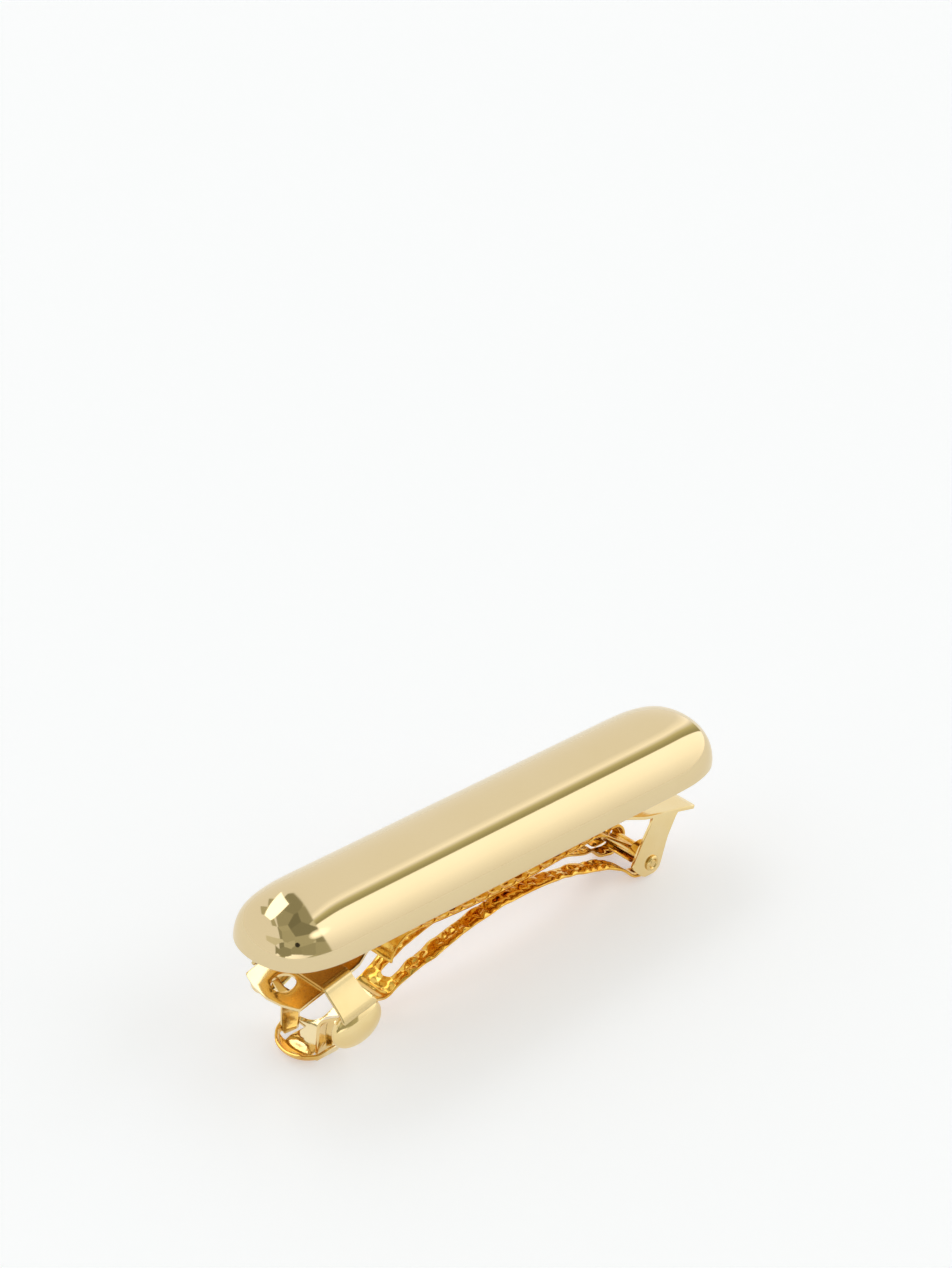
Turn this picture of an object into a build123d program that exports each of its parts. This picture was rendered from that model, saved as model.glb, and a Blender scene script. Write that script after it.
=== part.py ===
"""Automatic (French) hair barrette: a hollow domed cover on a sprung, hinged clip.

The clip lies closed. X runs along it, from the clasp to the hinge, Y across it, and Z up
through the cover. The origin is under the middle of the cover, at the height of the
lowest point of the closed clip.
"""

import math
import os

from build123d import *

os.makedirs("parts", exist_ok=True)

# ---- Driving dimensions, in millimetres -------------------------------------------
# Cover: a pill in plan, half an ellipse in section
cover_length = 80.0
cover_width = 16.2
cover_crown = 7.0
cover_wall = 0.8
cover_rim_z = 18.0
back_depth = 1.2
back_bevel = 2.2

# Sheet metal
plate_thickness = 0.45
arm_thickness = 0.5
bar_thickness = 0.45
clasp_thickness = 0.5

# Base plate, bowed upwards along its length
plate_crown_z = 16.2
plate_bow_radius = 141.0
plate_left_end = -36.0
plate_right_end = 36.1
plate_end_bulge = 1.2
plate_half_width = 5.0
waist_half_width = 3.6
waist_start = 23.0
waist_end = 26.6
pad_length = 8.0
pad_width = 5.0
pad_spacing = 18.0
sewing_hole_x = -34.2
sewing_hole_diameter = 3.2
lacing_hole_x = 34.3
lacing_hole_diameter = 2.0

# Hinge
pivot_x = 28.1
pivot_z = 5.6
pin_diameter = 1.4
pin_running_gap = 0.06
rivet_head_diameter = 2.3
rivet_head_height = 0.5
ear_top_left = 27.6
ear_top_right = 32.7
ear_lean = 3.3
ear_end_radius = 1.9
side_gap = 0.15

# Lower arm: two rails bent to one arc, an end web, a neck and a spoon-shaped head
arm_crown_x = 4.5
arm_crown_z = 9.5
arm_radius = 48.3
arm_half_width = 3.5
arm_hinge_half_width = 4.3
arm_flare_x = 22.0
slot_half_width = 1.0
slot_left_end = -16.3
slot_right_end = 20.5
knuckle_radius = 2.4
web_taper_x = -12.0
web_bend_x = -18.4
web_half_width = 2.7
neck_half_width = 2.1
neck_knee_x = -21.0
neck_knee_drop = 0.3
neck_end_x = -26.6
tongue_z = 0.9
tongue_foot_x = -30.6
head_flange = 0.575
head_root_x = -27.3
head_tip_x = -33.8
head_tip_z = 0.75
spoon_low_x = -32.2
window_inner = 2.3
window_rim_gap = 0.1
window_left = -31.75
window_right = -28.0

# Tension bar between the plate and the arm
bar_half_width = 1.95
bar_left_x = -14.0
bar_left_z = 11.45
bar_middle_x = 3.0
bar_middle_z = 10.65
bar_right_x = 20.6
bar_right_z = 11.75
bar_tip_x = -17.4
bar_tip_z = 8.2
bar_knuckle_radius = 1.7

# Clasp: a saddle over the plate, and one splayed leg with a finger ear on each side
saddle_left = -32.3
saddle_right = -27.8
edge_gap = 0.05
flex_gap = 0.15
fold_depth = 0.9
crease_y = 8.2
crease_drop = -2.9
ear_bulge = 0.75
ear_height = 5.9
ear_length = 8.0
strip_thickness = 0.45
strip_shelf_drop = 0.5
strip_left = -31.2
strip_right = -28.5
strip_y = 3.4
strip_top_z = 6.5
strip_bottom_z = 1.75

# ---- Values that follow ------------------------------------------------------------
pin_radius = pin_diameter / 2
running_hole_radius = pin_radius + pin_running_gap
hinge_ear_inner = arm_hinge_half_width + side_gap
bar_knuckle_gap = bar_half_width + side_gap
window_outer = strip_y + strip_thickness / 2 + window_rim_gap
head_half_width = window_outer + head_flange
hinge_ear_outer = hinge_ear_inner + plate_thickness
plate_reach = max(plate_half_width, hinge_ear_outer)
arm_reach = max(arm_hinge_half_width, head_half_width)


def plate_height(x, depth=0.0):
    """Height of the bowed plate at x, a given depth under its upper face."""
    radius = plate_bow_radius - depth
    return plate_crown_z - plate_bow_radius + math.sqrt(radius**2 - x**2)


def plate_plane(x):
    """The plane that touches the bowed plate's upper face at x, with its x axis along Y."""
    slope = math.asin(x / plate_bow_radius)
    return Plane(
        origin=(x, 0, plate_height(x)),
        x_dir=(0, 1, 0),
        z_dir=(math.sin(slope), 0, math.cos(slope)),
    )


def arm_middle(x):
    """Height of the middle of the arm's sheet at x, along the rails."""
    radius = arm_radius + arm_thickness / 2
    drop = radius - math.sqrt(radius**2 - (x - arm_crown_x) ** 2)
    return arm_crown_z + arm_thickness / 2 - drop


def save(part, name):
    """Label a finished piece and write it out."""
    part.label = name
    export_step(part, f"parts/{name}.step")


# ---- Cover -------------------------------------------------------------------------
def half_ellipse(half_width, height):
    """Half an ellipse standing on the sketch's x axis."""
    Ellipse(half_width, height)
    with Locations((0, -height)):
        Rectangle(2 * half_width, 2 * height, mode=Mode.SUBTRACT)


def dome(half_width, height, straight):
    """A pill-shaped dome on the rim plane: a straight barrel and two revolved ends."""
    with BuildPart() as solid:
        with BuildSketch(Plane.YZ):
            half_ellipse(half_width, height)
        extrude(amount=straight / 2, both=True)
        for end in (-1, 1):
            with BuildSketch(Plane.XZ.offset(0).shift_origin((end * straight / 2, 0, 0))):
                half_ellipse(half_width, height)
                with Locations((-half_width, height / 2)):
                    Rectangle(2 * half_width, height, mode=Mode.SUBTRACT)
            revolve(axis=Axis((end * straight / 2, 0, 0), (0, 0, 1)))
    return solid.part.moved(Location((0, 0, cover_rim_z)))


straight_run = cover_length - cover_width
outer_dome = dome(cover_width / 2, cover_crown, straight_run)
inner_dome = dome(cover_width / 2 - cover_wall, cover_crown - cover_wall, straight_run)

with BuildPart() as cover_shell:
    add(outer_dome)
    add(inner_dome, mode=Mode.SUBTRACT)
save(cover_shell.part, "cover_shell")

with BuildPart() as cover_back:
    with BuildSketch(Plane.XY.offset(cover_rim_z)):
        SlotOverall(cover_length, cover_width)
    bevel_angle = math.degrees(math.atan2(back_bevel, back_depth))
    extrude(amount=-back_depth, taper=bevel_angle)
save(cover_back.part, "cover_back")

# ---- Base plate with its hinge ears ------------------------------------------------
with BuildPart() as base_plate:
    middle = plate_thickness / 2
    with BuildSketch(Plane.XZ):
        with BuildLine():
            reach = plate_right_end + 2 * plate_end_bulge
            end_z = plate_height(reach, middle)
            ThreePointArc((-reach, end_z), (0, plate_height(0, middle)), (reach, end_z))
        trace(line_width=plate_thickness)
    extrude(amount=plate_reach, both=True)
    with BuildSketch(Plane.XY) as outline:
        with BuildLine():
            near_edge = Polyline(
                (plate_left_end, -plate_half_width),
                (-waist_end, -plate_half_width),
                (-waist_start, -waist_half_width),
                (waist_start, -waist_half_width),
                (waist_end, -plate_half_width),
                (plate_right_end, -plate_half_width),
            )
            far_edge = mirror(near_edge, about=Plane.XZ)
            Line((plate_right_end, -plate_half_width), (plate_right_end, plate_half_width))
            ThreePointArc(
                (plate_left_end, -plate_half_width),
                (plate_left_end - plate_end_bulge, 0),
                (plate_left_end, plate_half_width),
            )
        make_face()
        waist_corners = outline.vertices().filter_by_position(Axis.X, -waist_end, waist_end)
        fillet(waist_corners, radius=3.0)
        end_corners = outline.vertices().group_by(Axis.X)[0] + outline.vertices().group_by(Axis.X)[-1]
        fillet(end_corners, radius=0.6)
        with Locations(((ear_top_left + ear_top_right) / 2, 0)):
            Rectangle(ear_top_right - ear_top_left, 2 * hinge_ear_outer)
    extrude(amount=cover_rim_z, mode=Mode.INTERSECT)
    for x, diameter in (
        (sewing_hole_x, sewing_hole_diameter),
        (lacing_hole_x, lacing_hole_diameter),
    ):
        with BuildSketch(plate_plane(x)):
            Circle(diameter / 2)
        extrude(amount=2 * plate_thickness, both=True, mode=Mode.SUBTRACT)
    for side in (-1, 1):
        inner, outer = sorted((side * hinge_ear_inner, side * hinge_ear_outer))
        with BuildSketch(Plane.XZ.offset(-outer)):
            with BuildLine():
                Polyline(
                    (ear_top_left, plate_height(ear_top_left, middle)),
                    (ear_top_right, plate_height(ear_top_right, middle)),
                    (pivot_x + ear_end_radius, pivot_z),
                    (pivot_x - ear_end_radius, pivot_z),
                    (ear_top_left - ear_lean, pivot_z + 0.7),
                    close=True,
                )
            make_face()
            with Locations((pivot_x, pivot_z)):
                Circle(ear_end_radius)
            with Locations((pivot_x, pivot_z)):
                Circle(pin_radius, mode=Mode.SUBTRACT)
        extrude(amount=outer - inner)
save(base_plate.part, "base_plate")

# ---- Pads that hold the plate to the cover -----------------------------------------
with BuildPart() as mounting_pads:
    with BuildSketch(Plane.XY.offset(cover_rim_z - back_depth)):
        with GridLocations(pad_spacing, 0, 2, 1):
            SlotOverall(pad_length, pad_width)
    extrude(amount=-back_depth)
    with BuildSketch(Plane.XZ):
        with Locations((0, plate_crown_z - plate_bow_radius)):
            Circle(plate_bow_radius)
    extrude(amount=cover_width, both=True, mode=Mode.SUBTRACT)
save(mounting_pads.part, "mounting_pads")

# ---- Hinge pin, riveted over at both ends ------------------------------------------
with BuildPart() as hinge_pin:
    with BuildSketch(Plane.XZ):
        with Locations((pivot_x, pivot_z)):
            Circle(pin_radius)
    extrude(amount=hinge_ear_outer, both=True)
    for side in (-1, 1):
        with BuildSketch(Plane.XZ.offset(side * hinge_ear_outer)):
            with Locations((pivot_x, pivot_z)):
                Circle(rivet_head_diameter / 2)
        extrude(amount=side * rivet_head_height)
    head_rims = hinge_pin.edges().filter_by(GeomType.CIRCLE)
    crowns = head_rims.group_by(Axis.Y)[0] + head_rims.group_by(Axis.Y)[-1]
    fillet(crowns, radius=0.9 * rivet_head_height)
save(hinge_pin.part, "hinge_pin")

# ---- Lower arm ----------------------------------------------------------------------
with BuildPart() as lower_arm:
    with BuildSketch(Plane.XZ):
        with BuildLine():
            rail = ThreePointArc(
                (pivot_x - knuckle_radius / 2, arm_middle(pivot_x - knuckle_radius / 2)),
                (arm_crown_x, arm_middle(arm_crown_x)),
                (web_bend_x, arm_middle(web_bend_x)),
            )
            neck = FilletPolyline(
                rail @ 1,
                (neck_knee_x, arm_middle(web_bend_x) - neck_knee_drop),
                (neck_end_x, tongue_z),
                (tongue_foot_x, tongue_z),
                (spoon_low_x, arm_thickness / 2),
                (head_tip_x, head_tip_z),
                radius=0.5,
            )
        trace(line_width=arm_thickness)
    extrude(amount=arm_reach, both=True)
    with BuildSketch(Plane.XY) as arm_plan:
        with Locations(((arm_flare_x + web_taper_x) / 2, 0)):
            Rectangle(arm_flare_x - web_taper_x, 2 * arm_half_width)
        with BuildLine():
            Polyline(
                (arm_flare_x, arm_half_width),
                (arm_flare_x + 2, arm_hinge_half_width),
                (pivot_x, arm_hinge_half_width),
                (pivot_x, -arm_hinge_half_width),
                (arm_flare_x + 2, -arm_hinge_half_width),
                (arm_flare_x, -arm_half_width),
                close=True,
            )
        make_face()
        with BuildLine():
            Polyline(
                (web_taper_x, arm_half_width),
                (web_bend_x, web_half_width),
                (web_bend_x - 2, neck_half_width),
                (neck_end_x, neck_half_width),
                (neck_end_x, -neck_half_width),
                (web_bend_x - 2, -neck_half_width),
                (web_bend_x, -web_half_width),
                (web_taper_x, -arm_half_width),
                close=True,
            )
        make_face()
        with BuildLine():
            tip = ThreePointArc(
                (tongue_foot_x, head_half_width), (head_tip_x, 0), (tongue_foot_x, -head_half_width)
            )
            Polyline(
                tip @ 1,
                (head_root_x, -head_half_width),
                (neck_end_x, -neck_half_width),
                (neck_end_x, neck_half_width),
                (head_root_x, head_half_width),
                tip @ 0,
            )
        make_face()
        slot_middle = (slot_left_end + slot_right_end) / 2
        with Locations((slot_middle, 0)):
            SlotOverall(slot_right_end - slot_left_end, 2 * slot_half_width, mode=Mode.SUBTRACT)
        hinge_slot_length = pivot_x + knuckle_radius - slot_right_end + slot_half_width
        with Locations((slot_right_end - slot_half_width + hinge_slot_length / 2, 0)):
            Rectangle(hinge_slot_length, 2 * bar_knuckle_gap, mode=Mode.SUBTRACT)
        with Locations(((window_left + window_right) / 2, 0)):
            Rectangle(window_right - window_left, 2 * window_outer, mode=Mode.SUBTRACT)
            Rectangle(window_right - window_left, 2 * window_inner)
    extrude(amount=cover_rim_z, mode=Mode.INTERSECT)
    for side in (-1, 1):
        inner, outer = sorted((side * bar_knuckle_gap, side * arm_hinge_half_width))
        with BuildSketch(Plane.XZ.offset(-outer)):
            with Locations((pivot_x, pivot_z)):
                Circle(knuckle_radius)
        extrude(amount=outer - inner)
    with BuildSketch(Plane.XZ):
        with Locations((pivot_x, pivot_z)):
            Circle(running_hole_radius)
    extrude(amount=arm_hinge_half_width, both=True, mode=Mode.SUBTRACT)
save(lower_arm.part, "lower_arm")

# ---- Tension bar --------------------------------------------------------------------
with BuildPart() as tension_bar:
    with BuildSketch(Plane.XZ):
        with BuildLine():
            spring = ThreePointArc(
                (bar_right_x, bar_right_z), (bar_middle_x, bar_middle_z), (bar_left_x, bar_left_z)
            )
            TangentArc(spring @ 1, (bar_tip_x, bar_tip_z), tangent=spring % 1)
            Line((pivot_x - 0.9, pivot_z + 0.9), spring @ 0)
        trace(line_width=bar_thickness)
    extrude(amount=bar_half_width, both=True)
    with BuildSketch(Plane.XZ):
        with Locations((pivot_x, pivot_z)):
            Circle(bar_knuckle_radius)
    extrude(amount=bar_half_width, both=True)
    with BuildSketch(Plane.XZ):
        with Locations((pivot_x, pivot_z)):
            Circle(running_hole_radius)
    extrude(amount=bar_half_width, both=True, mode=Mode.SUBTRACT)
save(tension_bar.part, "tension_bar")

# ---- Clasp --------------------------------------------------------------------------
# Its plane stands square to the bowed plate, with the sketch's y axis as the plate's normal
saddle_x = (saddle_left + saddle_right) / 2
slope = math.asin(-saddle_x / plate_bow_radius)
clasp_plane = Plane(
    origin=(saddle_x, 0, plate_height(saddle_x)),
    x_dir=(0, 1, 0),
    z_dir=(math.cos(slope), 0, math.sin(slope)),
)
clasp_side_plane = Plane(
    origin=clasp_plane.origin, x_dir=clasp_plane.z_dir, z_dir=(0, -1, 0)
)
saddle_half_length = (saddle_right - saddle_left) / 2
leg_start = -fold_depth - flex_gap - clasp_thickness / 2
fold_inner = plate_half_width + edge_gap
fold_outer = fold_inner + clasp_thickness

with BuildPart() as clasp_saddle:
    with BuildSketch(clasp_plane):
        with Locations((0, clasp_thickness)):
            Rectangle(2 * fold_outer, clasp_thickness + fold_depth, align=(Align.CENTER, Align.MAX))
    extrude(amount=saddle_half_length, both=True)
    upper_corners = clasp_saddle.edges().filter_by(lambda e: abs(e.length - 2 * saddle_half_length) < 0.01)
    fillet(upper_corners.group_by(Axis.Z)[-1], radius=0.8 * clasp_thickness)
    with BuildSketch(Plane.XZ):
        with Locations((0, plate_crown_z - plate_bow_radius)):
            Circle(plate_bow_radius)
    extrude(amount=fold_inner, both=True, mode=Mode.SUBTRACT)
save(clasp_saddle.part, "clasp_saddle")


def catch(side):
    """A splayed leg with its domed finger ear and the strip that drops into the arm's head."""
    leg_top = side * (fold_inner + clasp_thickness / 2)
    ear_low_z = crease_drop - ear_height
    with BuildPart() as piece:
        with BuildSketch(clasp_plane):
            with BuildLine():
                leg = Line((leg_top, leg_start), (side * crease_y, crease_drop))
                ear = ThreePointArc(
                    leg @ 1,
                    (side * (crease_y + ear_bulge), crease_drop - ear_height / 2),
                    (side * crease_y, ear_low_z),
                )
            trace(line_width=clasp_thickness)
        extrude(amount=ear_length / 2, both=True)
        with BuildSketch(clasp_side_plane):
            with Locations((0, (leg_start + crease_drop) / 2)):
                Rectangle(2 * saddle_half_length, leg_start - crease_drop + 2 * clasp_thickness)
            with Locations((0, crease_drop - ear_height / 2)):
                Ellipse(ear_length / 2, ear_height / 2 + clasp_thickness)
        extrude(amount=cover_width, both=True, mode=Mode.INTERSECT)
        with BuildSketch(Plane.YZ.offset(strip_left)):
            with BuildLine():
                FilletPolyline(
                    (side * strip_y, strip_bottom_z),
                    (side * strip_y, strip_top_z),
                    (side * crease_y, plate_height(saddle_x) + crease_drop - strip_shelf_drop),
                    radius=0.6,
                )
            trace(line_width=strip_thickness)
        extrude(amount=strip_right - strip_left)
    return piece.part


for name, side in (("near_catch", -1), ("far_catch", 1)):
    save(catch(side), name)
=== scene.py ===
"""A gold hair barrette: a polished pill-shaped cover on a stamped, sprung clip."""

import math

import bmesh
import bpy
from mathutils import Matrix, Vector


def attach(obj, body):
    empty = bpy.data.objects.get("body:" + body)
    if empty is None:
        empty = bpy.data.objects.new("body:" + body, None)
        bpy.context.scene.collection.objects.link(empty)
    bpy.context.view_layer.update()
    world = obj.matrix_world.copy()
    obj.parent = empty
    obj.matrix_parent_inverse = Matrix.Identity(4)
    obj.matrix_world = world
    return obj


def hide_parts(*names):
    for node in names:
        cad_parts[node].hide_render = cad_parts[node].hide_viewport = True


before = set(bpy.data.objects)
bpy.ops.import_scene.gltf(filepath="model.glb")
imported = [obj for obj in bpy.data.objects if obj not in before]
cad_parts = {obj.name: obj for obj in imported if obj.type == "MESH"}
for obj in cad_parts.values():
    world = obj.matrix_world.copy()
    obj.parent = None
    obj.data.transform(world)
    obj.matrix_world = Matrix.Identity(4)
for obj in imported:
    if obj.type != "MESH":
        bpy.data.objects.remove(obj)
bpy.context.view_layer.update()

MM = 0.001

# ---- The clip's own sizes, in millimetres ------------------------------------------
COVER_HALF_LENGTH = 40.0
COVER_HALF_WIDTH = 8.1
COVER_CROWN = 7.0
COVER_WALL = 0.8
RIM_Z = 18.0
BACK_Z = 16.8
PLATE_TOP = 16.2
PLATE_RADIUS = 141.0
PLATE_SHEET = 0.45
PIVOT = (28.1, 5.6)
ARM_RADIUS = 48.55
ARM_SHEET = 0.45
CLASP_SHEET = 0.45
CLASP_X = -30.05

# ---- The studio ---------------------------------------------------------------------
LENS = 107.6
CAMERA_RIGHT = (0.71068, -0.70125, 0.05638)
CAMERA_UP = (0.31909, 0.39273, 0.86252)
CAMERA_BACK = (-0.62699, -0.59499, 0.50287)
TENT_STRENGTH = 2.2
SPOON_LOW = (-32.2, 0.0)
KNUCKLE_LOW = (28.1, 3.2)


def plate_middle(x):
    """Height of the middle of the bowed plate."""
    radius = PLATE_RADIUS - PLATE_SHEET / 2
    return PLATE_TOP - PLATE_RADIUS + math.sqrt(radius**2 - x**2)


def arm_middle(x):
    """Height of the middle of the arched arm."""
    return 9.75 - ARM_RADIUS + math.sqrt(ARM_RADIUS**2 - (x - 4.5) ** 2)


CLASP_TILT = math.asin(-CLASP_X / PLATE_RADIUS)
CLASP_ORIGIN = Vector((CLASP_X, 0, PLATE_TOP - PLATE_RADIUS + math.sqrt(PLATE_RADIUS**2 - CLASP_X**2)))


def on_clasp(along, y, up):
    """A point of the clasp, measured along the plate, across it and square to it."""
    across = Vector((math.cos(CLASP_TILT), 0, math.sin(CLASP_TILT)))
    normal = Vector((-math.sin(CLASP_TILT), 0, math.cos(CLASP_TILT)))
    return tuple(CLASP_ORIGIN + along * across + Vector((0, y, 0)) + up * normal)


# ---- Modelling by hand --------------------------------------------------------------
def deselect_everything():
    for thing in list(bpy.context.selected_objects):
        thing.select_set(False)


def begin(add, name, place=(0, 0, 0), **sizes):
    """Adds a primitive at a place in millimetres and opens it for editing."""
    deselect_everything()
    add(location=[MM * c for c in place], **sizes)
    piece = bpy.context.active_object
    piece.name = name
    piece.data.name = name
    bpy.ops.object.transform_apply(location=True, rotation=True, scale=True)
    bpy.ops.object.mode_set(mode="EDIT")
    return piece


def pick(piece, test, kind="verts"):
    """Selects the vertices, edges or faces whose middle, in millimetres, passes the test."""
    bpy.ops.mesh.select_mode(type={"verts": "VERT", "edges": "EDGE", "faces": "FACE"}[kind])
    bpy.ops.mesh.select_all(action="DESELECT")
    mesh = bmesh.from_edit_mesh(piece.data)
    chosen = 0
    for part in getattr(mesh, kind):
        if kind == "verts":
            middle = part.co / MM
        elif kind == "edges":
            middle = (part.verts[0].co + part.verts[1].co) / (2 * MM)
        else:
            middle = part.calc_center_median() / MM
        if test(middle):
            part.select_set(True)
            chosen += 1
    bmesh.update_edit_mesh(piece.data)
    return chosen


def move(x=0.0, y=0.0, z=0.0):
    bpy.ops.transform.translate(value=(MM * x, MM * y, MM * z))


def stretch(x=1.0, y=1.0, z=1.0, about=(0, 0, 0)):
    bpy.ops.transform.resize(value=(x, y, z), center_override=[MM * c for c in about])


def cut(point, normal, drop_inner=False, drop_outer=False):
    bpy.ops.mesh.select_all(action="SELECT")
    bpy.ops.mesh.bisect(
        plane_co=[MM * c for c in point],
        plane_no=normal,
        clear_inner=drop_inner,
        clear_outer=drop_outer,
        threshold=1e-7,
    )


def close_edit():
    bpy.ops.object.mode_set(mode="OBJECT")


def tidy_skin():
    """Merges doubles and turns the faces outwards."""
    bpy.ops.mesh.select_all(action="SELECT")
    bpy.ops.mesh.remove_doubles(threshold=0.00001)
    bpy.ops.mesh.normals_make_consistent(inside=False)


def modify(piece, kind, **settings):
    """Adds a modifier and applies it."""
    deselect_everything()
    piece.select_set(True)
    bpy.context.view_layer.objects.active = piece
    modifier = piece.modifiers.new(kind, kind)
    for name, value in settings.items():
        setattr(modifier, name, value)
    bpy.ops.object.modifier_apply(modifier=modifier.name)


def smooth(piece, degrees=40):
    deselect_everything()
    piece.select_set(True)
    bpy.context.view_layer.objects.active = piece
    bpy.ops.object.shade_smooth_by_angle(angle=math.radians(degrees))


def lay_row(piece, before, after):
    """Moves the selected row of vertices, met in the order of its old places, to new ones."""
    mesh = bmesh.from_edit_mesh(piece.data)
    mesh.verts.ensure_lookup_table()
    row = [v for v in mesh.verts if v.select]
    order = []
    for place in before:
        nearest = min(row, key=lambda v: (v.co / MM - Vector(place)).length)
        row.remove(nearest)
        order.append(nearest.index)
    for index, old, new in zip(order, before, after):
        mesh = bmesh.from_edit_mesh(piece.data)
        mesh.verts.ensure_lookup_table()
        for vertex in mesh.verts:
            vertex.select = vertex.index == index
        mesh.select_flush_mode()
        bmesh.update_edit_mesh(piece.data)
        shift = Vector(new) - Vector(old)
        if shift.length > 1e-6:
            move(*shift)
    mesh = bmesh.from_edit_mesh(piece.data)
    mesh.verts.ensure_lookup_table()
    for index in order:
        mesh.verts[index].select = True
    mesh.select_flush_mode()
    bmesh.update_edit_mesh(piece.data)


def drawn_sheet(name, rows):
    """A sheet drawn out row by row from one edge, left open for editing."""
    across = len(rows[0])
    piece = begin(
        bpy.ops.mesh.primitive_grid_add, name, x_subdivisions=1, y_subdivisions=across - 1, size=2 * MM
    )
    pick(piece, lambda p: p.x < 0)
    bpy.ops.mesh.delete(type="VERT")
    bpy.ops.mesh.select_all(action="SELECT")
    flat = [(1, -1 + 2 * step / (across - 1), 0) for step in range(across)]
    lay_row(piece, flat, rows[0])
    for before, after in zip(rows, rows[1:]):
        bpy.ops.mesh.extrude_region_move(TRANSFORM_OT_translate={"value": (0, 0, 0)})
        lay_row(piece, before, after)
    return piece


def make_sheet(piece, thickness, edge, degrees):
    """Gives a drawn sheet its thickness, its broken edges and its shading."""
    tidy_skin()
    close_edit()
    modify(
        piece, "SOLIDIFY", thickness=MM * thickness, offset=0.0, use_even_offset=True,
        use_quality_normals=True,
    )
    modify(
        piece, "BEVEL", width=MM * edge, segments=2, limit_method="ANGLE",
        angle_limit=math.radians(50), use_clamp_overlap=True,
    )
    smooth(piece, degrees)


def joined(pieces, name):
    """Joins pieces into the first one."""
    deselect_everything()
    for piece in pieces:
        piece.select_set(True)
    bpy.context.view_layer.objects.active = pieces[0]
    bpy.ops.object.join()
    pieces[0].name = name
    pieces[0].data.name = name
    return pieces[0]


def mirrored_copy(piece, name):
    """The same piece on the other side of the clip, with its own mesh."""
    deselect_everything()
    piece.select_set(True)
    bpy.context.view_layer.objects.active = piece
    bpy.ops.object.duplicate()
    twin = bpy.context.active_object
    twin.name = name
    twin.data.name = name
    bpy.ops.object.mode_set(mode="EDIT")
    bpy.ops.mesh.select_all(action="SELECT")
    bpy.ops.transform.resize(value=(1, -1, 1), center_override=(0, 0, 0))
    bpy.ops.mesh.normals_make_consistent(inside=False)
    close_edit()
    return twin


# ---- Shader maths -------------------------------------------------------------------
class Level:
    """A number that varies over a surface. Sums on it add Math nodes."""

    def __init__(self, tree, socket):
        self.tree = tree
        self.socket = socket

    def sum(self, operation, first, second=0.0):
        node = add_node(self.tree, "ShaderNodeMath", {"operation": operation}, {0: first, 1: second})
        return Level(self.tree, node.outputs[0])

    def __add__(self, other):
        return self.sum("ADD", self, other)

    def __radd__(self, other):
        return self.sum("ADD", other, self)

    def __sub__(self, other):
        return self.sum("SUBTRACT", self, other)

    def __rsub__(self, other):
        return self.sum("SUBTRACT", other, self)

    def __mul__(self, other):
        return self.sum("MULTIPLY", self, other)

    def __rmul__(self, other):
        return self.sum("MULTIPLY", other, self)

    def __truediv__(self, other):
        return self.sum("DIVIDE", self, other)

    def __pow__(self, other):
        return self.sum("POWER", self, other)


def add_node(tree, kind, settings=None, inputs=None):
    """One node, with its settings made first and then its sockets filled or linked."""
    node = tree.nodes.new(kind)
    for name, value in (settings or {}).items():
        if name == "stops":
            ramp = node.color_ramp
            for place, colour in value[2:]:
                ramp.elements.new(place)
            for element, (place, colour) in zip(ramp.elements, sorted(value)):
                element.position = place
                element.color = (*colour, 1.0)
        else:
            setattr(node, name, value)
    for name, value in (inputs or {}).items():
        if isinstance(value, Level):
            tree.links.new(value.socket, node.inputs[name])
        elif isinstance(value, bpy.types.NodeSocket):
            tree.links.new(value, node.inputs[name])
        else:
            node.inputs[name].default_value = value
    return node


def grey(amount):
    return (amount, amount, amount)


def dusky(amount):
    """A grey turned towards olive."""
    return (amount, 0.97 * amount, 0.6 * amount)


def mottled(tree, scale, detail=3.0, roughness=0.55):
    """Cloudy unevenness in the piece's own space, from 0 to 1."""
    place = add_node(tree, "ShaderNodeTexCoord").outputs["Object"]
    noise = add_node(
        tree, "ShaderNodeTexNoise", None,
        {"Vector": place, "Scale": scale, "Detail": detail, "Roughness": roughness},
    )
    return Level(tree, noise.outputs["Fac"])


def gold(name, pale, deep, polish, wear=0.05, ripple=0.0, ripple_scale=900.0, blotch_scale=160.0):
    """Electroplated gold: two tones of it in soft clouds, with a lightly uneven polish. On the arm and the
    bar the two tones are painted reflection of the gold around them, with painted shade in the deep clouds.
    """
    finish = bpy.data.materials.new(name)
    finish.use_nodes = True
    tree = finish.node_tree
    shader = tree.nodes["Principled BSDF"]
    clouds = mottled(tree, blotch_scale)
    fine = mottled(tree, ripple_scale, detail=4.0)
    colour = add_node(
        tree, "ShaderNodeMix", {"data_type": "RGBA"},
        {"Factor": (clouds - 0.3) * 2.2, 6: (*deep, 1.0), 7: (*pale, 1.0)},
    )
    tree.links.new(colour.outputs[2], shader.inputs["Base Color"])
    rough = polish + wear * (clouds * 0.6 + fine * 0.4)
    tree.links.new(rough.socket, shader.inputs["Roughness"])
    shader.inputs["Metallic"].default_value = 1.0
    if ripple:
        bump = add_node(
            tree, "ShaderNodeBump", None,
            {"Strength": 1.0, "Distance": ripple * MM, "Height": clouds * 0.7 + fine * 0.3},
        )
        tree.links.new(bump.outputs["Normal"], shader.inputs["Normal"])
    return finish


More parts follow.
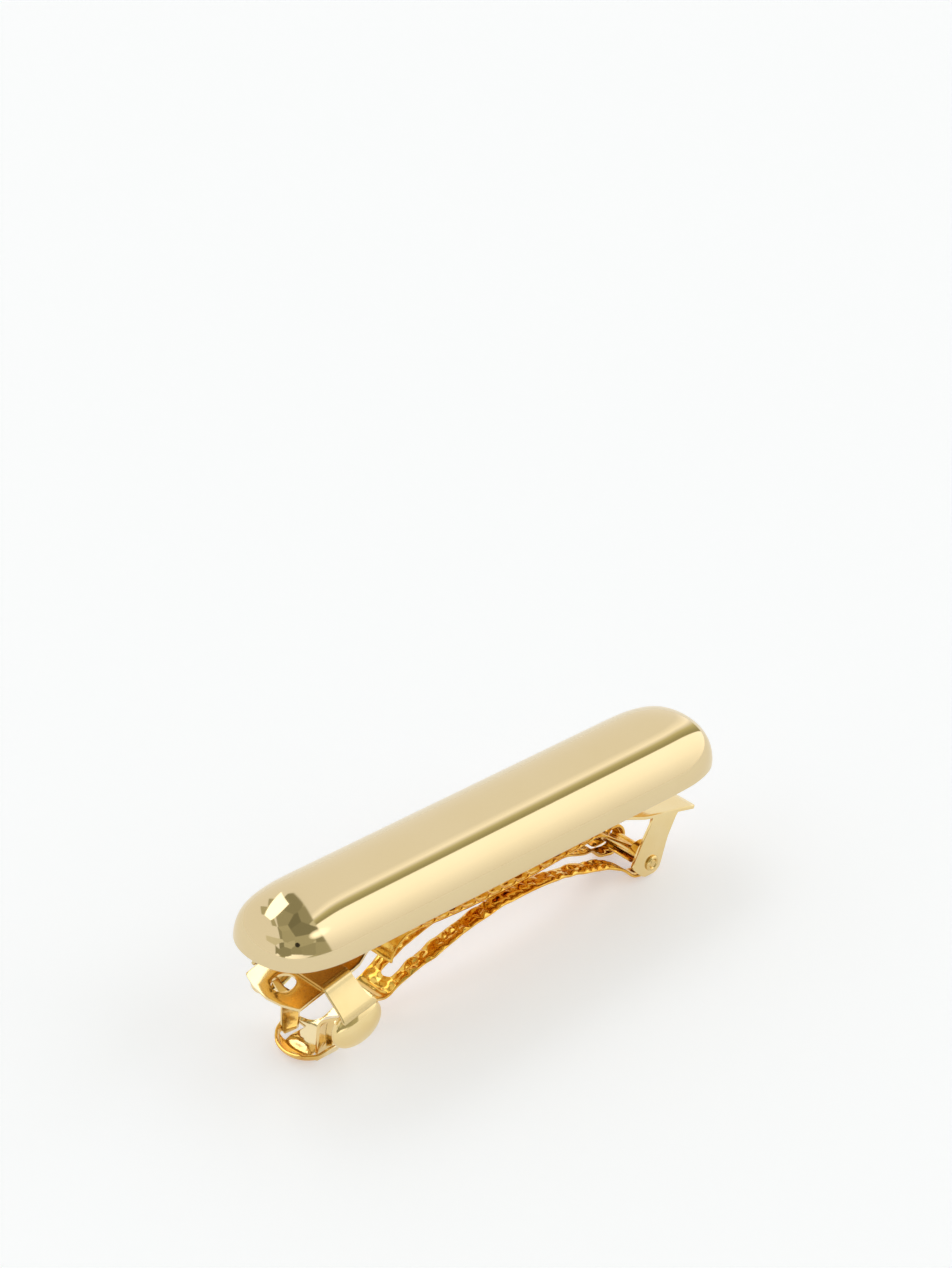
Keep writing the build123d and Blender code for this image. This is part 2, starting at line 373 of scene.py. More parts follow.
def stamped_gold_with_painted_shade(name, pale, rail_painted_reflection, rail_painted_shade, polish):
    """The arm's gold: deep orange clouds of painted reflection and painted shade on the embossed rails under
    the dome, paler along the neck and head where the arm comes out into the light, and painted shade again
    at the scoop's tip.
    """
    finish = gold(
        name, rail_painted_reflection, rail_painted_shade, polish, wear=0.07, ripple=0.05, ripple_scale=800.0, blotch_scale=700.0
    )
    tree = finish.node_tree
    shader = tree.nodes["Principled BSDF"]
    colour = shader.inputs["Base Color"].links[0].from_socket
    place = add_node(tree, "ShaderNodeTexCoord").outputs["Object"]
    along = Level(tree, add_node(tree, "ShaderNodeSeparateXYZ", None, {0: place}).outputs["X"])
    # Painted shade: the pale tone is kept off the rails that lie under the dome and mostly off the scoop's
    # tip, which keep the orange clouds of painted reflection and shade.
    lit_from_web = add_node(
        tree, "ShaderNodeMapRange", {"clamp": True},
        {"Value": along, "From Min": -0.0188, "From Max": -0.0205, "To Min": 0.0, "To Max": 1.0},
    )
    lit_until_scoop = add_node(
        tree, "ShaderNodeMapRange", {"clamp": True},
        {"Value": along, "From Min": -0.0302, "From Max": -0.0318, "To Min": 1.0, "To Max": 0.15},
    )
    share = Level(tree, lit_from_web.outputs["Result"]) * Level(tree, lit_until_scoop.outputs["Result"])
    blend = add_node(
        tree, "ShaderNodeMix", {"data_type": "RGBA"},
        {"Factor": share, 6: colour, 7: (*pale, 1.0)},
    )
    tree.links.new(blend.outputs[2], shader.inputs["Base Color"])
    return finish


def wear_finish(piece, finish):
    """Gives a piece its one finish."""
    piece.data.materials.clear()
    piece.data.materials.append(finish)


# ---- Cover --------------------------------------------------------------------------
def make_cover():
    """The polished dome: a smooth cage drawn out to a pill, cut at the rim and made hollow."""
    dome = begin(bpy.ops.mesh.primitive_cube_add, "cover_dome", size=2 * MM)
    bpy.ops.mesh.subdivide(number_cuts=1)
    bpy.ops.transform.tosphere(value=1.0)
    cut((0, 0, 0), (1, 0, 0), drop_inner=True)
    bpy.ops.mesh.select_all(action="SELECT")
    ball = max(v.co.length for v in bmesh.from_edit_mesh(dome.data).verts) / MM
    stretch(8.98 / ball, 8.98 / ball, 8.98 / ball)
    move(x=31)
    pick(dome, lambda p: 31.1 < p.x < 38.9)
    stretch(y=1.08, z=1.08)
    pick(dome, lambda p: abs(p.x - 31) < 0.01, "edges")
    bpy.ops.mesh.extrude_region_move(TRANSFORM_OT_translate={"value": (-4 * MM, 0, 0)})
    bpy.ops.mesh.extrude_region_move(TRANSFORM_OT_translate={"value": (-27 * MM, 0, 0)})
    tidy_skin()
    close_edit()
    modify(dome, "MIRROR", use_axis=(True, False, False), use_clip=True, merge_threshold=0.00002)
    modify(dome, "SUBSURF", levels=5, render_levels=5)
    size = dome.dimensions / MM
    bpy.ops.object.mode_set(mode="EDIT")
    bpy.ops.mesh.select_all(action="SELECT")
    stretch(2 * COVER_HALF_LENGTH / size.x, 2 * COVER_HALF_WIDTH / size.y, 2 * COVER_CROWN / size.z)
    move(z=RIM_Z)
    cut((0, 0, RIM_Z), (0, 0, 1), drop_inner=True)
    tidy_skin()
    close_edit()
    modify(dome, "SOLIDIFY", thickness=MM * COVER_WALL, offset=-1.0, use_even_offset=True)
    modify(
        dome, "BEVEL", width=MM * 0.3, segments=4, limit_method="ANGLE",
        angle_limit=math.radians(60), use_clamp_overlap=True,
    )
    smooth(dome, 35)
    return dome


def make_back():
    """The closing plate under the dome, with a bevelled border and a shallow inner step."""
    middle = COVER_HALF_LENGTH - COVER_HALF_WIDTH
    back = begin(
        bpy.ops.mesh.primitive_cylinder_add, "cover_closing_plate", (0, 0, RIM_Z - 0.12),
        vertices=96, radius=MM * (COVER_HALF_WIDTH - COVER_WALL), depth=MM * 0.2,
    )
    cut((0, 0, 0), (1, 0, 0), drop_inner=True)
    bpy.ops.mesh.select_all(action="SELECT")
    move(x=middle)
    pick(back, lambda p: abs(p.x - middle) < 0.001, "edges")
    bpy.ops.mesh.extrude_region_move(TRANSFORM_OT_translate={"value": (-MM * middle, 0, 0)})
    tidy_skin()
    close_edit()
    modify(back, "MIRROR", use_axis=(True, False, False), use_clip=True, merge_threshold=0.00002)
    bpy.ops.object.mode_set(mode="EDIT")
    pick(back, lambda p: p.z < RIM_Z - 0.2, "faces")
    bpy.ops.mesh.inset(thickness=MM * 1.9, depth=0.0)
    move(z=-(RIM_Z - 0.22 - BACK_Z))
    bpy.ops.mesh.inset(thickness=MM * 0.9, depth=0.0)
    bpy.ops.mesh.inset(thickness=MM * 0.25, depth=0.0)
    move(z=0.22)
    close_edit()
    modify(
        back, "BEVEL", width=MM * 0.12, segments=3, limit_method="ANGLE",
        angle_limit=math.radians(15), use_clamp_overlap=True,
    )
    smooth(back, 35)
    return back


# ---- Base plate ----------------------------------------------------------------------
def plate_half_width(x):
    """Half the plate's width: broad ends and a narrower waist, eased between them."""
    reach = abs(x)
    ease = min(1.0, max(0.0, (reach - 22.6) / 4.2))
    ease = ease * ease * (3 - 2 * ease)
    return 3.6 + 1.4 * ease


def punch(piece, x, radius):
    """Punches a round hole square to the bowed plate."""
    tilt = math.asin(x / PLATE_RADIUS)
    punch_tool = begin(
        bpy.ops.mesh.primitive_cylinder_add, "punch", (x, 0, plate_middle(x)),
        vertices=64, radius=MM * radius, depth=MM * 3, rotation=(0, tilt, 0),
    )
    close_edit()
    modify(piece, "BOOLEAN", object=punch_tool, operation="DIFFERENCE", solver="EXACT")
    bpy.data.objects.remove(punch_tool)


def make_plate():
    """The bowed stamped plate, with a hole near each end."""
    shares = (-1.0, -0.92, -0.5, 0.0, 0.5, 0.92, 1.0)
    rows = []
    steps = [-36.0, -35.6, -34.9] + [-34.0 + 1.0 * step for step in range(70)] + [36.05]
    for number, x in enumerate(steps):
        row = []
        for share in shares:
            y = share * plate_half_width(x)
            bulge = 1.2 * (1 - share**2) * max(0.0, 1 - number / 6) if x < 0 else 0.0
            if number == len(steps) - 1 and abs(share) == 1.0:
                bulge = 0.3
            place = x - bulge
            row.append((place, y, plate_middle(place)))
        rows.append(row)
    plate = drawn_sheet("base_plate_sheet", rows)
    tidy_skin()
    close_edit()
    modify(plate, "SOLIDIFY", thickness=MM * PLATE_SHEET, offset=0.0, use_even_offset=True)
    punch(plate, -34.2, 1.6)
    punch(plate, 34.3, 1.0)
    modify(
        plate, "BEVEL", width=MM * 0.09, segments=2, limit_method="ANGLE",
        angle_limit=math.radians(50), use_clamp_overlap=True,
    )
    smooth(plate, 40)
    return plate


def make_hinge_ear():
    """The near ear: folded down from the plate's edge and rounded under the pin."""
    sides = (
        (27.6, 32.6, -4.0, 0.04),
        (27.6, 32.6, -4.45, 0.04),
        (27.6, 32.6, -4.62, 0.12),
        (27.55, 32.6, -4.675, 0.35),
    )
    rows = []
    for left, right, y, drop in sides:
        row = []
        for share in (0, 0.05, 0.3, 0.6, 0.94, 1):
            x = left + share * (right - left)
            row.append((x, y, plate_middle(x) - drop))
        rows.append(row)
    for left, right, left_z, right_z in (
        (27.3, 32.3, 11.9, 11.4),
        (26.6, 31.7, 10.7, 10.2),
        (25.6, 31.0, 8.9, 8.7),
        (24.75, 30.6, 7.2, 7.3),
        (24.4, 30.35, 6.3, 6.3),
        (24.75, 30.1, 5.7, 5.2),
        (25.5, 29.85, 4.9, 4.4),
        (26.4, 29.3, 4.1, 3.9),
        (27.1, 28.7, 3.72, 3.7),
    ):
        row = []
        for share in (0, 0.05, 0.3, 0.6, 0.94, 1):
            row.append((left + share * (right - left), -4.675, left_z + share * (right_z - left_z)))
        rows.append(row)
    ear = drawn_sheet("hinge_ear_near", rows)
    make_sheet(ear, PLATE_SHEET, edge=0.09, degrees=35)
    return ear


# ---- Pin -----------------------------------------------------------------------------
def make_pin():
    """The hinge pin, staked over at both ends with a pinched ring."""
    pin = begin(
        bpy.ops.mesh.primitive_cylinder_add, "hinge_pin_staked", (PIVOT[0], 0, PIVOT[1]),
        vertices=48, radius=MM * 0.7, depth=MM * 9.8, rotation=(math.pi / 2, 0, 0),
    )
    for side in (-1, 1):
        pick(pin, lambda p: p.y * side > 4.8, "faces")
        bpy.ops.mesh.extrude_region_move(TRANSFORM_OT_translate={"value": (0, side * MM * 0.02, 0)})
        stretch(x=1.62, z=1.62, about=(PIVOT[0], 0, PIVOT[1]))
        bpy.ops.mesh.extrude_region_move(TRANSFORM_OT_translate={"value": (0, side * MM * 0.2, 0)})
        bpy.ops.mesh.extrude_region_move(TRANSFORM_OT_translate={"value": (0, side * MM * 0.17, 0)})
        stretch(x=0.82, z=0.82, about=(PIVOT[0], 0, PIVOT[1]))
        bpy.ops.mesh.inset(thickness=MM * 0.2, depth=0.0)
        bpy.ops.mesh.inset(thickness=MM * 0.12, depth=0.0)
        move(y=-side * 0.28)
        bpy.ops.mesh.inset(thickness=MM * 0.1, depth=0.0)
        move(y=side * 0.2)
    tidy_skin()
    close_edit()
    modify(
        pin, "BEVEL", width=MM * 0.05, segments=2, limit_method="ANGLE",
        angle_limit=math.radians(30), use_clamp_overlap=True,
    )
    smooth(pin, 40)
    return pin


# ---- Lower arm -----------------------------------------------------------------------
def rail_across(x):
    """Where a rail's middle lies across the clip and half its width: they close in on the web."""
    ease = min(1.0, max(0.0, (-x - 11.0) / 6.0))
    outer = 3.5 - 0.8 * ease
    return (outer + 1.0) / 2, (outer - 1.0) / 2


def make_rail(side):
    """One embossed rail of the arm, from its rolled knuckle to the web."""
    places = []
    for angle in range(150, -121, -18):
        turn = math.radians(angle)
        places.append((PIVOT[0] + 2.15 * math.cos(turn), PIVOT[1] + 2.15 * math.sin(turn), 3.2, 1.08))
    places.append((25.4, 3.95, 3.2, 1.08))
    places.append((24.0, arm_middle(24.0) + 0.05, 3.1, 1.12))
    places.append((22.6, arm_middle(22.6), 2.6, 1.2))
    x = 21.35
    while x > -16.0:
        places.append((x, arm_middle(x), *rail_across(x)))
        x -= 1.25
    places.append((-16.3, arm_middle(-16.3), *rail_across(-16.3)))
    rows = [
        [(x, side * middle + share * half, z) for share in (-1, 0, 1)]
        for x, z, middle, half in places
    ]
    rail = drawn_sheet("arm_rail", rows)
    pick(rail, lambda p: -16 < p.x < 22, "faces")
    bpy.ops.mesh.poke(offset=MM * 0.42)
    pick(rail, lambda p: -15.5 < p.x < 21, "verts")
    bpy.ops.transform.vertex_random(offset=MM * 0.2, uniform=0.5, normal=0.6, seed=4 + side)
    bpy.ops.mesh.select_all(action="SELECT")
    close_edit()
    return rail


def make_web():
    """The arm's end: grooved web, bend, narrow neck and the scooped head with two windows."""
    edge = rail_across(-16.3)
    wide = (-edge[0] - edge[1], -edge[0], -1.0, 0.0, 1.0, edge[0], edge[0] + edge[1])
    head = (-4.25, -3.75, -2.3, 0.0, 2.3, 3.75, 4.25)
    rows = []
    for x, rise in (
        (-16.3, (0, 0, 0, 0, 0, 0, 0)),
        (-16.9, (0.12, 0.05, -0.22, -0.3, -0.22, 0.05, 0.12)),
        (-17.5, (0.1, -0.22, -0.1, 0.1, -0.1, -0.22, 0.1)),
        (-18.1, (0.0, -0.12, -0.3, -0.32, -0.3, -0.12, 0.0)),
    ):
        sag = 0.75 * (1 - (-16.3 - x) / 2)
        rows.append([(x - (sag if y == 0 else 0.0), y, arm_middle(x) + lift) for y, lift in zip(wide, rise)])
    for x, z, share, rise in (
        (-18.6, 3.98, 1.0, 0.18),
        (-19.1, 3.92, 0.98, 0.0),
        (-19.6, 3.86, 0.9, 0.16),
        (-20.2, 3.76, 0.76, 0.0),
        (-21.1, 3.55, 0.66, 0.0),
        (-22.4, 2.9, 0.64, 0.0),
        (-24.4, 1.9, 0.64, 0.0),
        (-26.2, 1.1, 0.7, 0.0),
    ):
        rows.append([(x, share * y, z + rise * (1 - abs(y) / 4)) for y in wide])
    for x, ys, zs in (
        (-27.1, (-3.5, -2.9, -1.9, 0, 1.9, 2.9, 3.5), (1.2, 0.95, 0.9, 0.95, 0.9, 0.95, 1.2)),
        (-27.6, (-4.1, -3.6, -2.3, 0, 2.3, 3.6, 4.1), (1.7, 0.9, 0.85, 0.95, 0.85, 0.9, 1.7)),
        (-28.0, head, (2.1, 0.95, 0.85, 1.0, 0.85, 0.95, 2.1)),
        (-29.2, head, (2.25, 0.95, 0.85, 1.15, 0.85, 0.95, 2.25)),
        (-30.3, head, (2.2, 0.95, 0.85, 1.3, 0.85, 0.95, 2.2)),
        (-30.8, (-4.1, -3.7, -2.3, 0, 2.3, 3.7, 4.1), (2.0, 0.9, 0.75, 1.0, 0.75, 0.9, 2.0)),
        (-31.4, (-3.95, -3.6, -2.3, 0, 2.3, 3.6, 3.95), (1.75, 0.75, 0.45, 0.4, 0.45, 0.75, 1.75)),
        (-31.95, (-3.5, -3.1, -1.9, 0, 1.9, 3.1, 3.5), (1.6, 0.7, 0.35, 0.25, 0.35, 0.7, 1.6)),
        (-32.6, (-2.85, -2.5, -1.6, 0, 1.6, 2.5, 2.85), (1.5, 0.8, 0.4, 0.3, 0.4, 0.8, 1.5)),
    ):
        rows.append([(x, y, z) for y, z in zip(ys, zs)])
    rows.append([
        (-32.95, -2.3, 1.45), (-33.05, -2.0, 1.0), (-33.25, -1.2, 0.7), (-33.35, 0, 0.6),
        (-33.25, 1.2, 0.7), (-33.05, 2.0, 1.0), (-32.95, 2.3, 1.45),
    ])
    rows.append([
        (-33.0, -2.3, 1.6), (-33.25, -1.95, 1.45), (-33.55, -1.1, 1.3), (-33.7, 0, 1.25),
        (-33.55, 1.1, 1.3), (-33.25, 1.95, 1.45), (-33.0, 2.3, 1.6),
    ])
    web = drawn_sheet("arm_web", rows)
    pick(web, lambda p: -31.4 < p.x < -28.0 and 2.3 < abs(p.y) < 3.76, "faces")
    bpy.ops.mesh.delete(type="FACE")
    close_edit()
    return web


def make_arm():
    """The whole lower arm in one stamped sheet."""
    arm = joined([make_web(), make_rail(-1), make_rail(1)], "lower_arm_sheet")
    bpy.ops.object.mode_set(mode="EDIT")
    tidy_skin()
    close_edit()
    modify(arm, "SOLIDIFY", thickness=MM * ARM_SHEET, offset=0.0, use_even_offset=False, use_rim=True)
    modify(
        arm, "BEVEL", width=MM * 0.1, segments=1, limit_method="ANGLE",
        angle_limit=math.radians(62), use_clamp_overlap=True,
    )
    modify(arm, "SUBSURF", levels=2, render_levels=2)
    smooth(arm, 60)
    return arm


# ---- Tension bar ---------------------------------------------------------------------
def bar_height(x):
    """Height of the middle of the tension bar between its bends."""
    share = (x - 3.0) / 17.3
    return 10.65 + 0.95 * share * share


def make_bar():
    """The leaf over the arm, ribbed across, with a curled tip and a rolled knuckle."""
    shares = (-1.0, -0.9, -0.45, 0.0, 0.45, 0.9, 1.0)
    places = []
    for angle in range(-160, 116, 25):
        turn = math.radians(angle)
        places.append((PIVOT[0] + 1.25 * math.cos(turn), PIVOT[1] + 1.25 * math.sin(turn), 0.0))
    for x, z in ((27.0, 7.2), (26.0, 7.9), (24.0, 9.35), (22.4, 10.5), (21.4, 11.15), (20.6, 11.45)):
        places.append((x, z, 0.0))
    rib = 19.4
    while rib > -13.5:
        for x, lift in ((rib + 0.28, 0.0), (rib, 0.3), (rib - 0.28, 0.0)):
            places.append((x, bar_height(x), lift))
        rib -= 2.42
    for x, z in ((-14.2, 11.45), (-15.3, 11.2), (-16.3, 10.55), (-17.0, 9.6), (-17.3, 8.7), (-17.35, 8.2)):
        places.append((x, z, 0.0))
    rows = []
    for x, z, lift in places:
        rows.append([(x, 1.95 * share, z + (lift if abs(share) < 0.95 else 0.0)) for share in shares])
    bar = drawn_sheet("tension_bar_sheet", rows)
    mesh = bmesh.from_edit_mesh(bar.data)
    bpy.ops.mesh.select_mode(type="FACE")
    bpy.ops.mesh.select_all(action="DESELECT")
    for face in mesh.faces:
        middle = face.calc_center_median() / MM
        if -13.5 < middle.x < 19.2 and abs(middle.y) < 1.7 and face.calc_area() > 1.0 * MM * MM:
            face.select_set(True)
    bmesh.update_edit_mesh(bar.data)
    bpy.ops.mesh.poke(offset=-MM * 0.28)
    pick(bar, lambda p: -13.5 < p.x < 19 and abs(p.y) < 1.7, "verts")
    bpy.ops.transform.vertex_random(offset=MM * 0.1, uniform=0.5, normal=0.6, seed=9)
    tidy_skin()
    close_edit()
    modify(bar, "SOLIDIFY", thickness=MM * 0.4, offset=0.0, use_even_offset=False)
    modify(
        bar, "BEVEL", width=MM * 0.08, segments=1, limit_method="ANGLE",
        angle_limit=math.radians(62), use_clamp_overlap=True,
    )
    modify(bar, "SUBSURF", levels=2, render_levels=2)
    smooth(bar, 60)
    return bar


# ---- Clasp ---------------------------------------------------------------------------
def make_saddle():
    """The flat of the strap over the plate, between its two rolled legs."""
    path = []
    for y, up in ((4.68, 0.25), (4.4, 0.25), (2.5, 0.25)):
        path.append((-y, up))
    path = path + [(0.0, 0.25)] + [(-y, up) for y, up in reversed(path)]
    rows = [[on_clasp(s, y, up) for s in (-2.25, -2.1, -1.0, 0.0, 1.0, 2.1, 2.25)] for y, up in path]
    saddle = drawn_sheet("clasp_strap", rows)
    make_sheet(saddle, CLASP_SHEET, edge=0.09, degrees=40)
    return saddle


def make_leg():
    """The near leg: rolled over the plate's edge, then straight down to the finger ear and its nub."""
    rows = []
    for y, up, left, right in (
        (4.7, 0.25, -2.25, 2.25),
        (4.93, 0.21, -2.25, 2.25),
        (5.12, 0.13, -2.25, 2.25),
        (5.28, 0.01, -2.25, 2.25),
        (5.41, -0.14, -2.25, 2.25),
        (5.53, -0.31, -2.25, 2.25),
        (5.67, -0.48, -2.25, 2.25),
        (6.6, -1.4, -2.3, 2.3),
        (7.6, -2.39, -2.38, 2.42),
        (8.0, -2.79, -2.45, 2.6),
        (8.2, -3.0, -2.55, 2.95),
        (8.38, -3.32, -2.6, 3.1),
        (8.42, -3.6, -2.5, 2.9),
    ):
        row = []
        for share in (0, 0.04, 0.33, 0.66, 0.96, 1):
            row.append(on_clasp(left + share * (right - left), -y, up))
        rows.append(row)
    leg = drawn_sheet("near_leg_strap", rows)
    make_sheet(leg, CLASP_SHEET, edge=0.08, degrees=40)
    return leg


def make_ear():
    """The domed finger ear: a hollow oval bowl, turned with the plate's slope."""
    ear = begin(
        bpy.ops.mesh.primitive_uv_sphere_add, "near_finger_ear", segments=64, ring_count=32, radius=MM
    )
    bpy.ops.mesh.select_all(action="SELECT")
    stretch(x=4.0, y=1.75, z=3.0)
    cut((0, 0.5, 0), (0, 1, 0), drop_outer=True)
    bpy.ops.mesh.select_all(action="SELECT")
    bpy.ops.transform.rotate(
        value=CLASP_TILT, orient_axis="Y", orient_type="GLOBAL", center_override=(0, 0, 0)
    )
    bpy.ops.mesh.select_all(action="SELECT")
    x, y, z = on_clasp(0.15, -7.5, -5.8)
    move(x, y, z)
    tidy_skin()
    close_edit()
    modify(ear, "SOLIDIFY", thickness=MM * 0.35, offset=-1.0, use_even_offset=True)
    modify(
        ear, "BEVEL", width=MM * 0.1, segments=3, limit_method="ANGLE",
        angle_limit=math.radians(50), use_clamp_overlap=True,
    )
    smooth(ear, 40)
    return ear


def make_catch_strip():
    """The strip that runs in from the ear and drops, ridged and pointed, into the arm's head."""
    shelf = on_clasp(0, 0, -3.4)[2]
    rows = []
    for y, z, left, right, ridge in (
        (8.15, shelf, -31.2, -30.2, 0.0),
        (7.4, shelf - 0.5, -31.2, -30.2, 0.05),
        (5.8, shelf - 1.55, -31.2, -30.2, 0.08),
        (4.3, 7.0, -31.2, -30.1, 0.1),
        (3.75, 6.45, -31.2, -29.5, 0.15),
        (3.45, 5.9, -31.25, -28.6, 0.25),
        (3.38, 5.0, -31.3, -28.4, 0.4),
        (3.35, 3.6, -31.3, -28.4, 0.5),
        (3.3, 2.4, -31.3, -28.4, 0.45),
        (3.2, 1.5, -31.2, -28.5, 0.3),
        (3.0, 0.95, -31.0, -28.7, 0.15),
    ):
        row = []
        for share, lift in ((0, 0), (0.06, 0.05), (0.72, 1), (0.94, 0.3), (1, 0.2)):
            row.append((left + share * (right - left), -y + lift * ridge * 1.4, z + lift * ridge * 0.5))
        rows.append(row)
    strip = drawn_sheet("near_catch_strip", rows)
    make_sheet(strip, 0.38, edge=0.07, degrees=30)
    return strip


# ---- Build everything ----------------------------------------------------------------
cover_gold = gold(
    "polished cover gold", (0.76, 0.615, 0.365), (0.745, 0.595, 0.34), 0.05,
    wear=0.03, ripple=0.006, ripple_scale=260.0, blotch_scale=70.0,
)
back_gold = gold(
    "satin back gold", (0.88, 0.60, 0.20), (0.82, 0.50, 0.13), 0.2,
    wear=0.14, ripple=0.02, ripple_scale=1600.0,
)
clip_gold = gold(
    "polished clip gold", (0.88, 0.71, 0.39), (0.85, 0.65, 0.30), 0.07,
    wear=0.06, ripple=0.02, ripple_scale=700.0,
)
# Painted shade: the strap and legs wear a darker copy of the ears' clip gold, toned down where they face the
# tent's bright wall; the rougher polish is their own.
strap_gold_painted_shade = gold(
    "brushed strap gold with painted shade", (0.76, 0.61, 0.32), (0.72, 0.55, 0.26), 0.2,
    wear=0.08, ripple=0.012, ripple_scale=900.0,
)
spring_gold = gold(
    "spring gold", (0.90, 0.70, 0.36), (0.84, 0.62, 0.26), 0.10,
    wear=0.08, ripple=0.025, ripple_scale=900.0,
)
# The arm's rail tones are painted reflection and painted shade from lying under the dome; the pale tone is
# the lit neck.
arm_gold_painted_shade = stamped_gold_with_painted_shade(
    "embossed arm gold with painted shade", (0.90, 0.74, 0.42), (0.90, 0.64, 0.16), (0.72, 0.33, 0.03), 0.07
)
# The bar's two tones are painted reflection and painted shade from lying under the dome.
bar_gold_painted_shade = gold(
    "embossed bar gold with painted shade", (0.90, 0.64, 0.16), (0.72, 0.33, 0.03), 0.07,
    wear=0.07, ripple=0.05, ripple_scale=1500.0, blotch_scale=1100.0,
)
pin_gold = gold(
    "staked pin gold", (0.85, 0.66, 0.32), (0.76, 0.54, 0.20), 0.12,
    wear=0.1, ripple=0.03, ripple_scale=1200.0,
)
solder = gold(
    "dull solder", (0.62, 0.60, 0.56), (0.45, 0.43, 0.40), 0.35,
    wear=0.2, ripple=0.06, ripple_scale=900.0,
)

cover = make_cover()
back = make_back()
plate = make_plate()
near_ear = make_hinge_ear()
far_ear = mirrored_copy(near_ear, "hinge_ear_far")
pin = make_pin()
arm = make_arm()
bar = make_bar()
saddle = make_saddle()
near_parts = [make_leg(), make_ear(), make_catch_strip()]
far_parts = [
    mirrored_copy(near_parts[0], "far_leg_strap"),
    mirrored_copy(near_parts[1], "far_finger_ear"),
    mirrored_copy(near_parts[2], "far_catch_strip"),
]

for piece, body, nodes, slot, finish in (
    (cover, "base", ["cover_shell"], "cover", cover_gold),
    (back, "base", ["cover_back"], "cover_back", back_gold),
    (plate, "base", ["base_plate"], "clip", clip_gold),
    (near_ear, "base", [], "clip", clip_gold),
    (far_ear, "base", [], "clip", clip_gold),
    (pin, "base", ["hinge_pin"], "pin", pin_gold),
    (saddle, "base", ["clasp_saddle"], "clip", strap_gold_painted_shade),
    (arm, "arm", ["lower_arm"], "arm", arm_gold_painted_shade),
    (bar, "bar", ["tension_bar"], "spring", bar_gold_painted_shade),
    (near_parts[0], "near_leg", ["near_catch"], "spring", strap_gold_painted_shade),
    (near_parts[1], "near_leg", [], "spring", clip_gold),
    (near_parts[2], "near_leg", [], "spring", spring_gold),
    (far_parts[0], "far_leg", ["far_catch"], "spring", strap_gold_painted_shade),
    (far_parts[1], "far_leg", [], "spring", clip_gold),
    (far_parts[2], "far_leg", [], "spring", spring_gold),
):
    wear_finish(piece, finish)
    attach(piece, body)
    if nodes:
        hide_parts(*nodes)

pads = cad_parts["mounting_pads"]
wear_finish(pads, solder)


# ---- Floor, light and camera -----------------------------------------------------------
def make_floor():
    """A plain pale floor that touches the spoon's belly and the hinge knuckles."""
    rise = math.atan2(KNUCKLE_LOW[1] - SPOON_LOW[1], KNUCKLE_LOW[0] - SPOON_LOW[0])
    floor = begin(bpy.ops.mesh.primitive_plane_add, "studio_floor", size=6.0)
    bpy.ops.mesh.subdivide(number_cuts=8)
    bpy.ops.mesh.select_all(action="SELECT")
    bpy.ops.transform.rotate(value=rise, orient_axis="Y", orient_type="GLOBAL", center_override=(0, 0, 0))
    bpy.ops.mesh.select_all(action="SELECT")
    move(z=-SPOON_LOW[0] * math.tan(rise))
    close_edit()
    paint = bpy.data.materials.new("matt floor paint")
    paint.use_nodes = True
    tree = paint.node_tree
    shader = tree.nodes["Principled BSDF"]
    clouds = mottled(tree, 3.0)
    colour = add_node(
        tree, "ShaderNodeMix", {"data_type": "RGBA"},
        {"Factor": clouds, 6: (*grey(0.79), 1.0), 7: (*grey(0.80), 1.0)},
    )
    tree.links.new(colour.outputs[2], shader.inputs["Base Color"])
    shader.inputs["Emission Color"].default_value = (0.84, 0.88, 1.0, 1.0)
    shader.inputs["Emission Strength"].default_value = 0.385
    shader.inputs["Roughness"].default_value = 0.9
    shader.inputs["Specular IOR Level"].default_value = 0.1
    wear_finish(floor, paint)
    return floor


